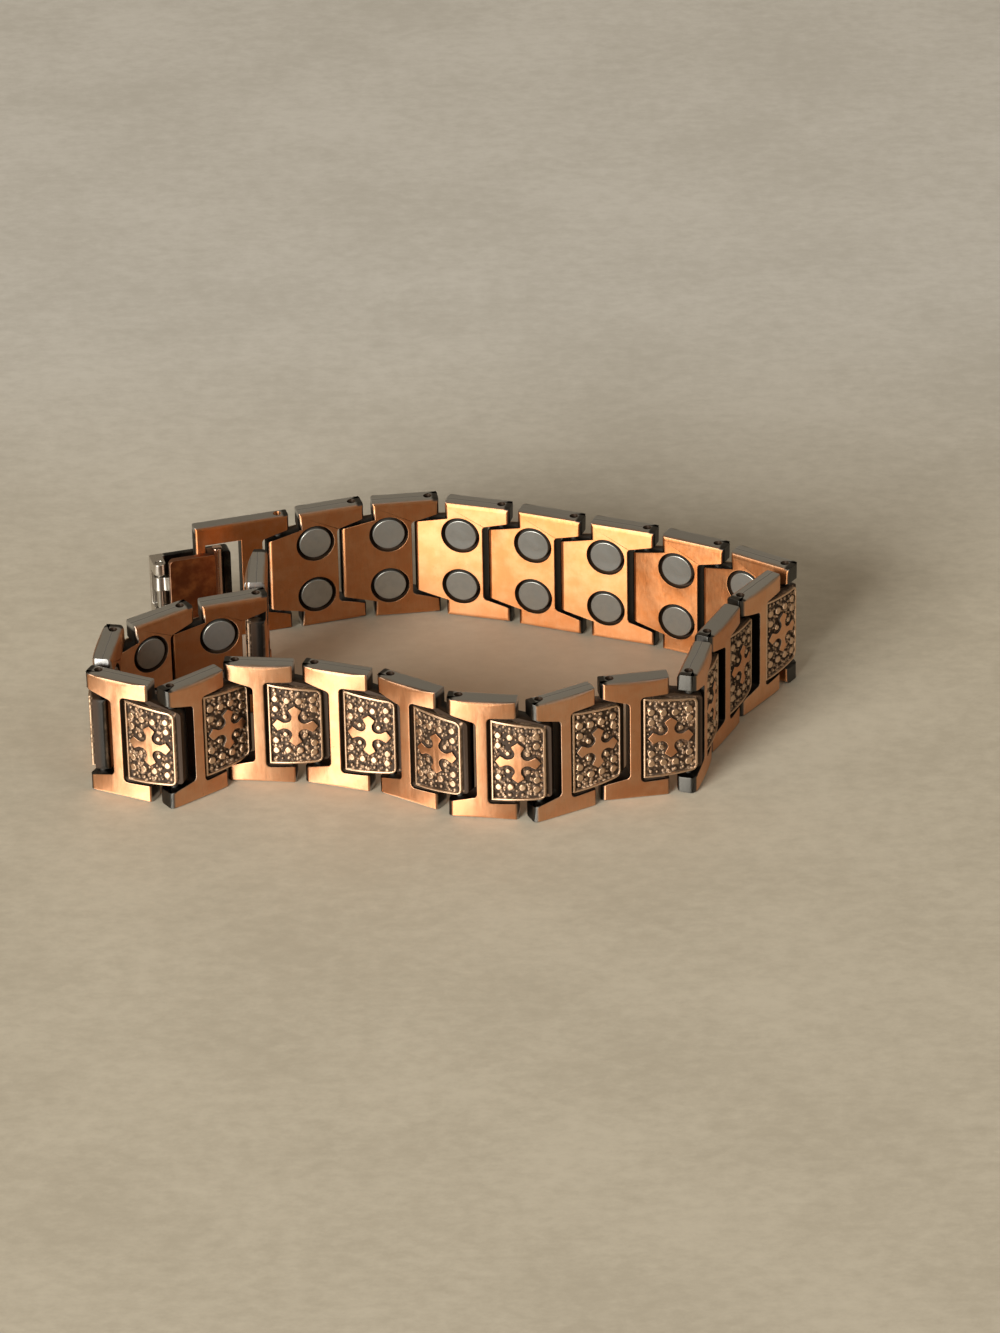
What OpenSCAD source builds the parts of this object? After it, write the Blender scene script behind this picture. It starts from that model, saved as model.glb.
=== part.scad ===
// Magnetic link bracelet, standing on the edge of its band.
// A band of hinged links with two magnets each on the inner side and a raised cross panel
// on the outer side. One end carries a frame with a fold-over clasp closed on it, and the
// other end link lies unfastened beside the frame.

/* [Band] */
// Height of the band, which stands on its edge
band_w = 15; // [14:0.5:20]
// Distance between two neighbouring hinge pins
link_pitch = 8.8; // [8.7:0.1:11]
// Thickness of a link at the middle of its curved outer face
link_t = 2.5; // [2.4:0.1:3]
// Rise of the curved outer face from a link's ends to its middle
link_bow = 0.3; // [0.2:0.05:0.4]
// Rounding of the band's long edges
edge_r = 0.6; // [0.3:0.05:0.7]
// Distance from a pin's axis to the flat inner face
pin_inset = 1.1; // [1:0.05:1.2]

/* [Hinges] */
// Height of an ear at its end
ear_h = 1.95; // [1.8:0.05:2.4]
// Height of an ear at its root, where the notch is narrower
ear_root_h = 2.8; // [2.6:0.05:3]
// How far an ear reaches past its pin
ear_reach = 1.2; // [1.1:0.05:1.3]
// Rounding of a rail's end
rail_r = 0.45; // [0.3:0.05:0.5]
// How much thinner the free end link is at its ears
end_taper = 1; // [0.7:0.05:1.1]
// Gap between the rails of neighbouring links in a straight band
rail_gap = 1.1; // [0.9:0.05:1.15]
// How far a tongue reaches past its pin
tongue_reach = 1.45; // [1.35:0.05:1.5]
// Gap between a tongue's tip and the notch wall
tongue_gap = 0.55; // [0.5:0.05:0.65]
// How much lower a tongue's root is than the notch's opening, on each side
tongue_play = 0.15; // [0.05:0.05:0.3]
// Height of a tongue's tip
tongue_tip_h = 8.9; // [8.6:0.1:9.2]
// Diameter of a hinge pin
pin_d = 0.84; // [0.7:0.02:1]
// Clearance round a pin, on the radius
pin_clear = 0.05; // [0.03:0.01:0.08]
// How deep a pin's end lies below the band's edge
pin_recess = 0.45; // [0.3:0.05:0.8]
// Depth of the blind sockets in the ears of the free end link
socket_depth = 1.4; // [1:0.1:1.6]

/* [Panel] */
// Width of the plain bar between the notch and the panel's groove
bar_w = 1.25; // [1.1:0.05:1.5]
// Width of the groove at the panel's wide end
groove_w = 0.3; // [0.2:0.05:0.4]
// Depth of the groove round the panel
groove_depth = 0.9; // [0.6:0.05:1]
// Height of a rail beside the panel, on the outer face
rail_h = 2.1; // [1.7:0.05:2.3]
// How much narrower the panel's tip is, on each side
panel_taper = 0.5; // [0.3:0.05:0.7]
// How far the panel's tip stays back from the tongue's
panel_setback = 0.6; // [0.5:0.05:0.7]
// Rounding of the panel's corners at its tip
panel_r_tip = 0.8; // [0.5:0.05:1]
// Rise of the panel's curved face
panel_bow = 0.3; // [0.2:0.05:0.4]
// Width of the raised rim round the panel
rim_w = 0.28; // [0.2:0.02:0.4]
// Height of the rim, cross and studs above the panel's ground
relief_h = 0.35; // [0.25:0.05:0.4]
// Diameter of a stud
stud_d = 0.82; // [0.6:0.02:0.86]
// Diameter of the studs in the cross's bites
bite_stud_d = 0.56; // [0.44:0.02:0.64]

/* [Magnets] */
// Diameter of a magnet
magnet_d = 3.7; // [3.4:0.1:3.8]
// Thickness of a magnet
magnet_t = 1; // [0.8:0.05:1.1]
// Width of the dark ring between a magnet and its pocket
magnet_ring = 0.4; // [0.2:0.01:0.45]
// Distance between the two magnets of a link
magnet_spacing = 6.7; // [5:0.1:7.2]
// Wall between a magnet's pocket and the notch
pocket_wall = 0.4; // [0.2:0.05:0.5]
// How deep a magnet's face lies below the inner face
magnet_recess = 0.08; // [0.04:0.02:0.15]

/* [Clasp] */
// Distance from the frame's pin to its far end
frame_l = 9.9; // [9.6:0.1:12]
// Depth of the frame on the outer side of its pin
frame_out = 0.95; // [0.9:0.05:1.1]
// Depth of the frame on the inner side of its pin
frame_in = 0.8; // [0.75:0.05:1]
// Height of the frame above and below its window
frame_rail = 2.4; // [2:0.1:2.6]
// Width of the bar at the frame's far end, which the clasp holds
end_bar_w = 1.2; // [1:0.05:1.4]
// Length of the frame's window
window_l = 4.2; // [4.1:0.1:4.6]
// Height of the leaf on the frame's inner side
leaf_h = 8.6; // [8:0.1:9]
// Thickness of the leaf
leaf_t = 0.75; // [0.6:0.05:0.9]
// Diameter of the rod on the leaf's hook
rod_d = 1.2; // [1:0.05:1.3]
// Height of the cover on the frame's outer side
cover_h = 7.2; // [6.8:0.1:7.6]
// Thickness of the cover
cover_t = 0.65; // [0.5:0.05:0.8]
// Gap between the window's edge and the cover's lip
lip_gap = 1.1; // [0.8:0.05:1.15]
// Thickness of the cover's lip
lip_t = 0.9; // [0.8:0.05:0.95]
// Gap between the frame and the leaf or the cover
clasp_gap = 0.18; // [0.15:0.01:0.25]
// Distance from the frame's far end to the clasp's hinge
hinge_out = 4.2; // [4:0.1:5]
// How far the hinge lies inwards of the middle between leaf and cover
hinge_in = 0.35; // [0.2:0.05:0.4]
// Height of each of the cover's two knuckles
knuckle_h = 1.4; // [1:0.1:1.6]
// Height of the leaf's knuckle
barrel_h = 1.7; // [1.2:0.1:1.8]
// Height of the leaf's knuckle above the band's middle
barrel_up = 0.2; // [0:0.05:0.3]
// Outer diameter of the clasp's knuckles
knuckle_d = 1.46; // [1.4:0.02:1.6]
// Diameter of the clasp's pin
clasp_pin_d = 0.8; // [0.7:0.02:0.9]

/* [Hidden] */
// Heading of each link, from its notched end to its tongue, along the loop as it stands
HEADINGS = [
    -90, -163, -145, -98, -25, 38, -6, -18.5, -32.5, -8.5, 28, 9, 74.5, 63, 53, 146.5, 153.5,
    160, 159.5, 164.5, 186.5, 196.5
];
FRAME_HEADING = 195.5;
LINKS = len(HEADINGS);
// Share of the panel's half length, and of its half height there, at which each stud sits
STUDS = [
    [-0.79, 0.69], [-0.31, 0.68], [0.17, 0.69], [0.72, 0.76], [-0.79, 0.42], [0.74, 0.49],
    [-0.79, -0.69], [-0.31, -0.68], [0.17, -0.69], [0.72, -0.76], [-0.79, -0.42], [0.74, -0.49]
];
// Corners of one arm of the cross, as shares of its reach: neck, shoulder, tip, shoulder, neck, bite
ARM = [[0.59, -0.2], [0.78, -0.29], [1, 0], [0.78, 0.29], [0.59, 0.2], [0.435, 0.435]];
// Place and radius of the four round bites between the arms, as shares of the reach
BITE_AT = 0.435;
BITE_R = 0.29;
// Share of the panel's inner half length that the cross reaches
CROSS_SHARE = 0.92;
// Rounding of an ear's corner on the outer and on the inner side
ear_r_out = 0.75;
ear_r_in = 0.4;
// Rounding of a notch's, groove's or window's inner corners
nook_r = 0.5;
tip_r = 0.6;
frame_edge_r = 0.45;
leaf_corner_r = 0.6;
lip_r = 0.4;
// Glue line under a magnet
glue = 0.05;
// A cut runs this far past the face that it opens, and a joined block this far into its neighbour
past = 1;
sink = 0.1;
ARC_STEPS = 4;
// The ear's rounded corner passes this far through the bow, so that the two cross
bow_slip = 0.02;

out = link_t - pin_inset;
rail_x = link_pitch - ear_reach - rail_gap;
notch_x = tongue_reach + tongue_gap;
notch_slope = (ear_root_h - ear_h) / (ear_reach + notch_x);
ear_pin_h = ear_h + notch_slope * ear_reach;
tip_x = link_pitch + tongue_reach;
mid_x = (rail_x - ear_reach) / 2;
bow_r = bow_radius((rail_x + ear_reach) / 2, link_bow);
end_crest_x = rail_x - rail_r;
end_bow_r = bow_radius(end_crest_x + ear_reach, end_taper);
panel_x = notch_x + bar_w + groove_w;
panel_tip_x = tip_x - panel_setback;
panel_mid = (panel_x + panel_tip_x) / 2;
panel_r = bow_radius((panel_tip_x - panel_x) / 2, panel_bow);
panel_half = band_w / 2 - rail_h - groove_w;
panel_slope = panel_taper / (panel_tip_x - panel_x);
groove_y = -out + groove_depth;
inner_half = (panel_tip_x - panel_x) / 2 - rim_w;
cross_reach = CROSS_SHARE * inner_half;
pocket_d = magnet_d + 2 * magnet_ring;
pocket_x = notch_x + pocket_wall + pocket_d / 2;
pocket_depth = magnet_recess + magnet_t + glue;
bore_d = pin_d + 2 * pin_clear;
window_x1 = frame_l - end_bar_w;
window_x0 = window_x1 - window_l;
leaf_y = frame_in + clasp_gap;
cover_y = -frame_out - clasp_gap - cover_t;
hinge_at = [frame_l + hinge_out, (leaf_y + leaf_t + cover_y) / 2 + hinge_in];
knuckle_bore = clasp_pin_d + 2 * pin_clear;
middle = band_w / 2;

function bow_radius(half, rise) = (half * half + rise * rise) / (2 * rise);
function on_arc(a) = [cos(a), sin(a)];
function corner(centre, r, a0, a1) = [
    for (k = [0:ARC_STEPS]) centre + r * on_arc(a0 + (a1 - a0) * k / ARC_STEPS)
];
function turn(p, a) = [p[0] * cos(a) - p[1] * sin(a), p[0] * sin(a) + p[1] * cos(a)];
function pin_at(i) = i == 0 ? [0, 0] : pin_at(i - 1) + link_pitch * on_arc(HEADINGS[i - 1]);
function two_digits(i) = i < 10 ? str("0", i) : str(i);

// Height at which a corner of radius r at x meets the bow, which it just passes through
function meet_y(x, r) = bow_r - out - sqrt(pow(bow_r - r, 2) - pow(x - mid_x, 2)) - bow_slip;

// Plan of a link's rails and web, open towards the outer side, where the bow cuts it
ear_y = meet_y(ear_r_out - ear_reach, ear_r_out);
LINK_PLAN = concat(
    [[rail_x - rail_r, -out - past]],
    corner([rail_x - rail_r, meet_y(rail_x - rail_r, rail_r)], rail_r, -85, 0),
    corner([rail_x - rail_r, pin_inset - rail_r], rail_r, 0, 90),
    corner([ear_r_in - ear_reach, pin_inset - ear_r_in], ear_r_in, 90, 180),
    corner([ear_r_out - ear_reach, ear_y], ear_r_out, 180, 265),
    [[ear_r_out - ear_reach, -out - past]]
);
// The free end link has a small rounding at its thin ears, and its bow cuts them
END_PLAN = concat(
    [for (p = LINK_PLAN) if (p[0] > mid_x) p],
    corner([ear_r_in - ear_reach, pin_inset - ear_r_in], ear_r_in, 90, 180),
    [[-ear_reach, -out - past]]
);
// Points that reach furthest out, on a link and on the clasp
LINK_REACH = [
    for (k = [0:8]) let (x = (rail_x + ear_reach / 2) * k / 8 - ear_reach / 2)
        [x, bow_r - out - sqrt(bow_r * bow_r - pow(x - mid_x, 2))],
    for (p = corner([ear_r_out - ear_reach, ear_y], ear_r_out, 180, 250)) p,
    for (p = corner([ear_r_in - ear_reach, pin_inset - ear_r_in], ear_r_in, 90, 180)) p,
    [tip_x, 0]
];
CLASP_REACH = [
    [frame_l, -frame_out], [hinge_at[0] + knuckle_d / 2, cover_y], [-ear_reach, -frame_out],
    [window_x0, cover_y]
];
REACH = concat(
    [for (i = [1:LINKS]) for (p = LINK_REACH) pin_at(i - 1) + turn(p, HEADINGS[i - 1])],
    [for (p = CLASP_REACH) pin_at(LINKS) + turn(p, FRAME_HEADING)]
);
xs = [for (p = REACH) p[0]];
ys = [for (p = REACH) p[1]];
CENTRE = [(min(xs) + max(xs)) / 2, (min(ys) + max(ys)) / 2];

LINK_NAMES = [for (i = [1:LINKS]) str("link_", two_digits(i))];
MAGNET_NAMES = [for (i = [1:LINKS]) str("magnets_", two_digits(i))];
CLASP_NAMES = ["clasp_frame", "clasp_leaf", "clasp_cover", "clasp_pin"];

// Stands a shape drawn in plan at the pin of link i, turned along that link
module at_link(i) {
    translate(concat(pin_at(i - 1) - CENTRE, [0])) rotate(HEADINGS[i - 1]) children();
}

module at_clasp() {
    translate(concat(pin_at(LINKS) - CENTRE, [0])) rotate(FRAME_HEADING) children();
}

// Extrudes a shape drawn along the band and up it, from y0 to y1 through the band
module through(y0, y1) {
    translate([0, y1, 0]) rotate([90, 0, 0]) linear_extrude(y1 - y0) children();
}

// Bar along the band with rounded long edges, from x0 to x1
module rounded_bar(x0, x1, y0, y1, z0, z1, r) {
    outline = concat(
        corner([y1 - r, z1 - r], r, 0, 90),
        corner([y0 + r, z1 - r], r, 90, 180),
        corner([y0 + r, z0 + r], r, 180, 270),
        corner([y1 - r, z0 + r], r, 270, 360)
    );
    translate([x0, 0, 0]) rotate([90, 0, 90]) linear_extrude(x1 - x0) polygon(outline);
}

// Side view of a taper, from half height h0 at x0, narrowing by slope, to corners of radius r at x1
module taper(x0, x1, h0, slope, r) {
    h1 = h0 - slope * (x1 - r - x0) - r;
    polygon(concat(
        [[x0, middle - h0]],
        corner([x1 - r, middle - h1], r, -90, 0),
        corner([x1 - r, middle + h1], r, 0, 90),
        [[x0, middle + h0]]
    ));
}

// Opening between the ears, narrower towards its wall
module notch(y0, y1) {
    through(y0, y1)
        taper(-ear_reach - past, notch_x, middle - ear_h + notch_slope * past, notch_slope, nook_r);
}

// Bores for the pins at a link's two ends
module pin_bore(x, z0, z1) {
    translate([x, 0, z0]) cylinder(d = bore_d, h = z1 - z0, $fn = 48);
}

module rails_and_web(free_end) {
    crest_x = free_end ? end_crest_x : mid_x;
    r = free_end ? end_bow_r : bow_r;
    difference() {
        intersection() {
            linear_extrude(band_w) polygon(free_end ? END_PLAN : LINK_PLAN);
            rounded_bar(-ear_reach - past, rail_x + past, -out, pin_inset, 0, band_w, edge_r);
            translate([crest_x, r - out, -past]) cylinder(r = r, h = band_w + 2 * past, $fn = 240);
        }
        notch(-out - past, pin_inset + past);
        through(-out - past, groove_y) mirror([1, 0, 0])
            taper(-rail_x - past, groove_w - panel_x, middle - rail_h, 0, nook_r);
    }
}

// Outline of a tongue in plan, with a rounded tip
module tongue_plan(x0, y0, y1) {
    linear_extrude(band_w) polygon(concat(
        [[x0, y0]],
        corner([tip_x - tip_r, y0 + tip_r], tip_r, -90, 0),
        corner([tip_x - tip_r, y1 - tip_r], tip_r, 0, 90),
        [[x0, y1]]
    ));
}

module tongue_plate() {
    half = middle - ear_h - tongue_play;
    tip_half = tongue_tip_h / 2;
    x0 = rail_x - rail_r - sink;
    intersection() {
        tongue_plan(x0 - past, -out + panel_bow, pin_inset);
        through(groove_y - sink, pin_inset)
            taper(x0, tip_x, half, (half - tip_half) / (tip_x - x0), nook_r);
    }
}

module cross_shape() {
    difference() {
        polygon([for (q = [0:3]) for (p = ARM) turn(cross_reach * p, 90 * q)]);
        for (q = [0:3]) rotate(45 + 90 * q) translate([BITE_AT * sqrt(2) * cross_reach, 0])
            circle(r = BITE_R * cross_reach, $fn = 32);
    }
}

function half_height_at(x) = panel_half - rim_w - panel_slope * (x + inner_half + rim_w);

// Round studs about the cross, and one in each of its bites
module stud_shapes() {
    for (p = STUDS) translate([p[0] * inner_half, p[1] * half_height_at(p[0] * inner_half)])
        circle(d = stud_d, $fn = 24);
    for (q = [0:3]) rotate(45 + 90 * q) translate([BITE_AT * sqrt(2) * cross_reach, 0])
        circle(d = bite_stud_d, $fn = 24);
}

// Block with the ornament: its face is curved, and the ground is sunk inside the rim
module panel() {
    axis_y = panel_r - out;
    difference() {
        intersection() {
            through(-out - past, groove_y + sink)
                taper(panel_x, panel_tip_x, panel_half, panel_slope, panel_r_tip);
            translate([panel_mid, axis_y, 0]) cylinder(r = panel_r, h = band_w, $fn = 240);
        }
        difference() {
            through(-out - past, groove_y)
                taper(
                    panel_x + rim_w, panel_tip_x - rim_w, panel_half - rim_w, panel_slope, panel_r_tip - rim_w
                );
            translate([panel_mid, axis_y, 0]) cylinder(r = panel_r - relief_h, h = band_w, $fn = 240);
            through(-out - 2 * past, groove_y + past) translate([panel_mid, middle]) {
                cross_shape();
                stud_shapes();
            }
        }
    }
}

module magnet_places() {
    for (z = [middle - magnet_spacing / 2, middle + magnet_spacing / 2])
        translate([pocket_x, pin_inset, z]) rotate([90, 0, 0]) children();
}

// Link with its notched end at the origin and its tongue towards +X, inner face towards +Y
module link(free_end) {
    color("peru") difference() {
        union() {
            rails_and_web(free_end);
            tongue_plate();
            panel();
        }
        magnet_places() translate([0, 0, -past]) cylinder(d = pocket_d, h = pocket_depth + past, $fn = 64);
        pin_bore(link_pitch, 0, band_w);
        if (free_end) {
            pin_bore(0, ear_pin_h - socket_depth, ear_pin_h + past);
            pin_bore(0, band_w - ear_pin_h - past, band_w - ear_pin_h + socket_depth);
        } else {
            pin_bore(0, -past, band_w + past);
        }
    }
}

module magnets() {
    color("silver") magnet_places() translate([0, 0, magnet_recess])
        cylinder(d = magnet_d, h = magnet_t, $fn = 64);
}

module link_pins() {
    color("dimgray") for (i = [1:LINKS]) at_link(i) translate([link_pitch, 0, pin_recess])
        cylinder(d = pin_d, h = band_w - 2 * pin_recess, $fn = 32);
}

// End link with a notch for the last tongue and a window for the clasp
module clasp_frame() {
    plan = concat(
        corner([frame_l - frame_edge_r, -frame_out + frame_edge_r], frame_edge_r, -90, 0),
        corner([frame_l - frame_edge_r, frame_in - frame_edge_r], frame_edge_r, 0, 90),
        corner([ear_r_in - ear_reach, frame_in - ear_r_in], ear_r_in, 90, 180),
        corner([ear_r_in - ear_reach, ear_r_in - frame_out], ear_r_in, 180, 270)
    );
    color("peru") at_clasp() difference() {
        intersection() {
            linear_extrude(band_w) polygon(plan);
            rounded_bar(-ear_reach - past, frame_l + past, -frame_out, frame_in, 0, band_w, frame_edge_r);
        }
        notch(-frame_out - past, frame_in + past);
        translate([window_x0, -frame_out - past, frame_rail])
            cube([window_l, frame_out + frame_in + 2 * past, band_w - 2 * frame_rail]);
        pin_bore(0, -past, band_w + past);
    }
}

// Knuckle round the clasp's pin, joined by an arm of thickness t to the point p
module knuckle(p, t, h) {
    way = p - hinge_at;
    difference() {
        union() {
            translate(hinge_at) cylinder(d = knuckle_d, h = h, $fn = 48);
            translate(hinge_at) rotate(atan2(way[1], way[0]))
                translate([0, -t / 2, 0]) cube([norm(way), t, h]);
        }
        translate(concat(hinge_at, [-past])) cylinder(d = knuckle_bore, h = h + 2 * past, $fn = 48);
    }
}

// Inner leaf: a plate on the frame's inner side, with a hook and rod through the window
module clasp_leaf() {
    hook_x = window_x1 - clasp_gap - leaf_t;
    end_x = frame_l + hinge_out - knuckle_d / 2 - clasp_gap;
    rod_x = hook_x - rod_d / 2 + sink;
    rod_y = frame_in - rod_d / 2;
    z0 = middle - leaf_h / 2;
    color("chocolate") at_clasp() {
        through(leaf_y, leaf_y + leaf_t) polygon(concat(
            [[hook_x, z0]],
            corner([end_x - leaf_corner_r, z0 + leaf_corner_r], leaf_corner_r, -90, 0),
            corner([end_x - leaf_corner_r, z0 + leaf_h - leaf_corner_r], leaf_corner_r, 0, 90),
            [[hook_x, z0 + leaf_h]]
        ));
        translate([hook_x, rod_y - leaf_t / 2, z0]) cube([leaf_t, leaf_y - rod_y + leaf_t, leaf_h]);
        translate([rod_x, rod_y, z0 - sink]) cylinder(d = rod_d, h = leaf_h + 2 * sink, $fn = 48);
        translate([0, 0, middle + barrel_up])
            knuckle([end_x - leaf_t, leaf_y + leaf_t / 2], leaf_t, barrel_h);
    }
}

// Outer cover, hinged at its far end, with a lip turned into the window
module clasp_cover() {
    z0 = middle - cover_h / 2;
    x0 = window_x0 + lip_gap;
    x1 = hinge_at[0] + knuckle_d / 2;
    color("saddlebrown") at_clasp() {
        translate([x0 + lip_t / 2, cover_y, z0]) cube([x1 - x0 - lip_t / 2, cover_t, cover_h]);
        through(cover_y, cover_y + cover_t + clasp_gap + frame_out) polygon(concat(
            [[x0 + lip_t, z0]],
            [[x0 + lip_t, z0 + cover_h]],
            corner([x0 + lip_r, z0 + cover_h - lip_r], lip_r, 90, 180),
            corner([x0 + lip_r, z0 + lip_r], lip_r, 180, 270)
        ));
        for (z = [z0, z0 + cover_h - knuckle_h]) translate([0, 0, z])
            knuckle([hinge_at[0], cover_y + cover_t / 2], knuckle_d, knuckle_h);
    }
}

module clasp_pin() {
    z0 = middle - cover_h / 2 + sink;
    color("silver") at_clasp() translate(concat(hinge_at, [z0]))
        cylinder(d = clasp_pin_d, h = cover_h - 2 * sink, $fn = 32);
}

for (i = [1:LINKS]) at_link(i) link(i == 1);
for (i = [1:LINKS]) at_link(i) magnets();
link_pins();
clasp_frame();
clasp_leaf();
clasp_cover();
clasp_pin();
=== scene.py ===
import math

import bmesh
import bpy
import numpy as np
from mathutils import Matrix, Vector


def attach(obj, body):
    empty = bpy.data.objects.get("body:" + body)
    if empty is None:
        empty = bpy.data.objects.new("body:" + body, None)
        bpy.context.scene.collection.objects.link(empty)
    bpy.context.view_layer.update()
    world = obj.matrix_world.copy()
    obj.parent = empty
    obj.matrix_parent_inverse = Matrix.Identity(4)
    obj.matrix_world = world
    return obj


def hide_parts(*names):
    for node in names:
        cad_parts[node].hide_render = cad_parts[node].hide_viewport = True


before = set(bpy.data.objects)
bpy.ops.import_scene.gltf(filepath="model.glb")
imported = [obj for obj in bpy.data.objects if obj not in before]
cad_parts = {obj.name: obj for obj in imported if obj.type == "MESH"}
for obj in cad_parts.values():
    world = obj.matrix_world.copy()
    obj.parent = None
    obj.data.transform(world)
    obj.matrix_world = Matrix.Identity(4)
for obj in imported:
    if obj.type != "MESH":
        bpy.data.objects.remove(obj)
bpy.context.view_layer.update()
print("frame loaded:", len(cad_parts), "nodes")

mm = 0.001

# View and light

cameraSetup = {
    "place": (5.887, -607.237, 362.932),  # mm
    "pitch": 30.472,  # degrees down
    "roll": 1.070,
    "lens": 169.3,  # mm, as the sensor
    "sensor": 36,
    "clipStart": 0.01,  # m
}

camera = bpy.data.objects.new("viewCamera", bpy.data.cameras.new("viewCamera"))
camera.data.lens = cameraSetup["lens"]
camera.data.sensor_width = cameraSetup["sensor"]
camera.data.clip_start = cameraSetup["clipStart"]
camera.matrix_world = (
    Matrix.Translation(Vector(cameraSetup["place"]) * mm)
    @ Matrix.Rotation(math.radians(90 - cameraSetup["pitch"]), 4, "X")
    @ Matrix.Rotation(math.radians(-cameraSetup["roll"]), 4, "Z")
)
bpy.context.scene.collection.objects.link(camera)
bpy.context.scene.camera = camera

lightSetup = {  # turns are degrees left of the camera's side, rises degrees up, distances and sizes metres
    "keyTurn": 34,
    "keyRise": 20,
    "keyDistance": 2.0,
    "keySize": 1.0,
    "keyPower": 57.0,
    "keyColor": (1.0, 0.98, 0.93),
    "fillTurn": -60,
    "fillRise": 50,
    "fillDistance": 0.9,
    "fillSize": 0.5,
    "fillPower": 0.5,
    "fillColor": (0.86, 0.93, 1.0),
    "skyColor": (1.0, 0.84, 0.64),
    "skyStrength": 0.27,
}


def areaLight(role):  # a round lamp that looks at the bracelet
    data = bpy.data.lights.new(role + "Light", "AREA")
    data.shape = "DISK"
    data.size = lightSetup[role + "Size"]
    data.energy = lightSetup[role + "Power"]
    data.color = lightSetup[role + "Color"]
    turn = math.radians(lightSetup[role + "Turn"])
    rise = math.radians(lightSetup[role + "Rise"])
    way = Vector((-math.sin(turn) * math.cos(rise), -math.cos(turn) * math.cos(rise), math.sin(rise)))
    lamp = bpy.data.objects.new(role + "Light", data)
    lamp.location = way * lightSetup[role + "Distance"]
    lamp.rotation_euler = way.to_track_quat("Z", "Y").to_euler()
    bpy.context.scene.collection.objects.link(lamp)


areaLight("key")
areaLight("fill")

world = bpy.data.worlds.new("studio")
world.use_nodes = True
sky = world.node_tree.nodes["Background"]
sky.inputs["Color"].default_value = (*lightSetup["skyColor"], 1)
sky.inputs["Strength"].default_value = lightSetup["skyStrength"]
bpy.context.scene.world = world
bpy.context.scene.view_settings.view_transform = "Standard"
print("camera and lights placed")

# Node helpers


def addNode(tree, kind, **values):
    node = tree.nodes.new(kind)
    for key, value in values.items():
        setattr(node, key, value)
    return node


def feed(tree, socket, value):
    if hasattr(value, "is_output"):
        tree.links.new(value, socket)
    elif value is not None:
        socket.default_value = value


def mathNode(tree, operation, a, b=None, clamp=False):
    node = addNode(tree, "ShaderNodeMath", operation=operation, use_clamp=clamp)
    feed(tree, node.inputs[0], a)
    feed(tree, node.inputs[1], b)
    return node.outputs[0]


def remap(tree, value, low, high, toLow=0.0, toHigh=1.0, kind="SMOOTHSTEP"):
    node = addNode(tree, "ShaderNodeMapRange", interpolation_type=kind)
    labels = ("Value", "From Min", "From Max", "To Min", "To Max")
    for label, number in zip(labels, (value, low, high, toLow, toHigh)):
        feed(tree, node.inputs[label], number)
    return node.outputs["Result"]


def mixColor(tree, share, a, b):
    node = addNode(tree, "ShaderNodeMix", data_type="RGBA")
    feed(tree, node.inputs[0], share)
    feed(tree, node.inputs[6], a if hasattr(a, "is_output") else (*a, 1))
    feed(tree, node.inputs[7], b if hasattr(b, "is_output") else (*b, 1))
    return node.outputs[2]


def stretched(tree, place, scale):
    node = addNode(tree, "ShaderNodeMapping")
    feed(tree, node.inputs["Vector"], place)
    node.inputs["Scale"].default_value = scale
    return node.outputs["Vector"]


def noise(tree, place, scale, detail, roughness):
    node = addNode(tree, "ShaderNodeTexNoise")
    feed(tree, node.inputs["Vector"], place)
    feed(tree, node.inputs["Scale"], scale)
    node.inputs["Detail"].default_value = detail
    node.inputs["Roughness"].default_value = roughness
    return node.outputs["Fac"]


def groupTree(name, inputs, outputs, kind="ShaderNodeTree"):
    tree = bpy.data.node_groups.new(name, kind)
    for label, socket, value in inputs:
        item = tree.interface.new_socket(label, in_out="INPUT", socket_type=socket)
        if value is not None:
            item.default_value = value
    for label, socket in outputs:
        tree.interface.new_socket(label, in_out="OUTPUT", socket_type=socket)
    return tree, addNode(tree, "NodeGroupInput"), addNode(tree, "NodeGroupOutput")


def placeGroup(tree, group, **values):
    node = addNode(tree, "ShaderNodeGroup", node_tree=group)
    for key, value in values.items():
        feed(tree, node.inputs[key], value)
    return node.outputs


# Effects that several finishes share, each a node group

grainSetup = {
    "stretch": (1, 1, 0.07),  # the lines run up the band
    "lineDetail": 4.0,
    "cloudScale": 0.55,
    "cloudDetail": 4.0,
    "roughness": 0.6,
}


def brushedGrain():  # fine brushed lines, and wide clouds
    tree, start, end = groupTree(
        "brushedGrain",
        [("Place", "NodeSocketVector", None), ("Fineness", "NodeSocketFloat", 9.0)],
        [("Lines", "NodeSocketFloat"), ("Clouds", "NodeSocketFloat")],
    )
    s = grainSetup
    place = start.outputs["Place"]
    upward = stretched(tree, place, s["stretch"])
    lines = noise(tree, upward, start.outputs["Fineness"], s["lineDetail"], s["roughness"])
    feed(tree, end.inputs["Lines"], lines)
    feed(tree, end.inputs["Clouds"], noise(tree, place, s["cloudScale"], s["cloudDetail"], s["roughness"]))
    return tree


stainSetup = {  # scale, detail and roughness of two noises, and where each starts to stain and is full
    "wide": (0.8, 5.0, 0.65),
    "wideRange": (0.52, 0.72),
    "fine": (5.5, 4.0, 0.7),
    "fineRange": (0.56, 0.70),
}


def stainSpots():  # small dark stains and pits, where both noises peak
    tree, start, end = groupTree(
        "stainSpots",
        [("Place", "NodeSocketVector", None), ("Amount", "NodeSocketFloat", 0.5)],
        [("Stain", "NodeSocketFloat")],
    )
    place = start.outputs["Place"]
    wide = remap(tree, noise(tree, place, *stainSetup["wide"]), *stainSetup["wideRange"])
    fine = remap(tree, noise(tree, place, *stainSetup["fine"]), *stainSetup["fineRange"])
    both = mathNode(tree, "MULTIPLY", wide, fine)
    feed(tree, end.inputs["Stain"], mathNode(tree, "MULTIPLY", both, start.outputs["Amount"], True))
    return tree


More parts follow.
